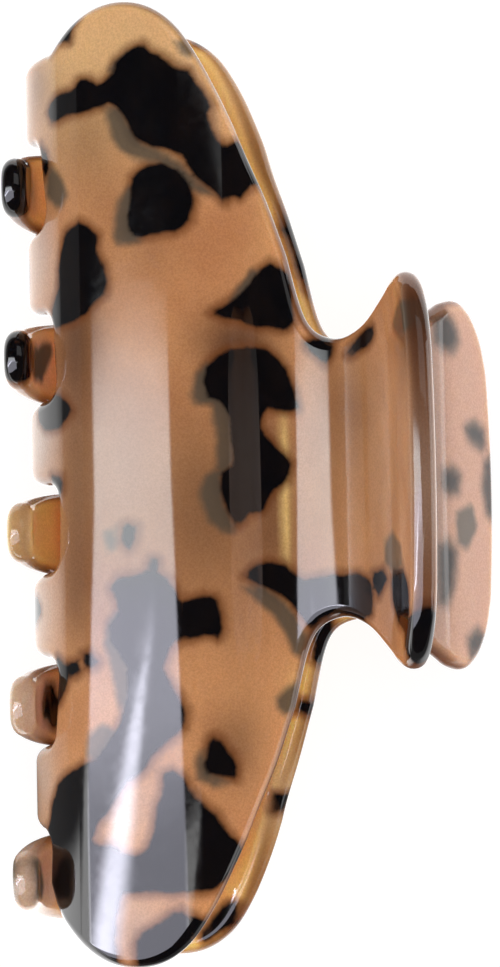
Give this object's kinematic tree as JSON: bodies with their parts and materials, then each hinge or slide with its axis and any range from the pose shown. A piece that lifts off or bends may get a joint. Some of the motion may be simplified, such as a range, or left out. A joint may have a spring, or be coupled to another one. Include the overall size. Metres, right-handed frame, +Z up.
{
  "type": "claw clip",
  "caption": "Long hair claw clip with two bent tortoiseshell jaws, interleaved curved teeth, a narrow sprung hinge and flared squeeze handles.",
  "frame": {"origin": "floor point under the middle of the closed clip, which lies on its back jaw", "axes": "+X along the hinge and the clip's length, +Y from the teeth to the handles, +Z up, the way the front jaw opens"},
  "size_m": [0.11, 0.0584, 0.0447],
  "materials": {
    "acetate_front": "polished tortoiseshell acetate",
    "acetate_back": "polished tortoiseshell acetate",
    "leaf_steel": "stamped, plated",
    "pin_steel": "turned, plated",
    "spring_steel": "drawn wire",
    "stud_steel": "plated"
  },
  "bodies": {
    "back": {"back_jaw": "acetate_back", "back_hinge_leaf": "leaf_steel", "back_stud_a": "stud_steel", "back_stud_b": "stud_steel", "hinge_pin": "pin_steel", "torsion_spring": "spring_steel"},
    "front": {"front_jaw": "acetate_front", "front_hinge_leaf": "leaf_steel", "front_stud_a": "stud_steel", "front_stud_b": "stud_steel"}
  },
  "joints": [
    {"name": "clip_hinge", "type": "hinge", "parent": "back", "child": "front", "pos_m": [0, 0.00664, 0.01831], "axis": [-1, 0, 0], "range_deg": [0, 50], "stiffness_Nm_per_rad": 0.12, "springref_deg": -68.75, "deforming": ["torsion_spring"]}
  ]
}
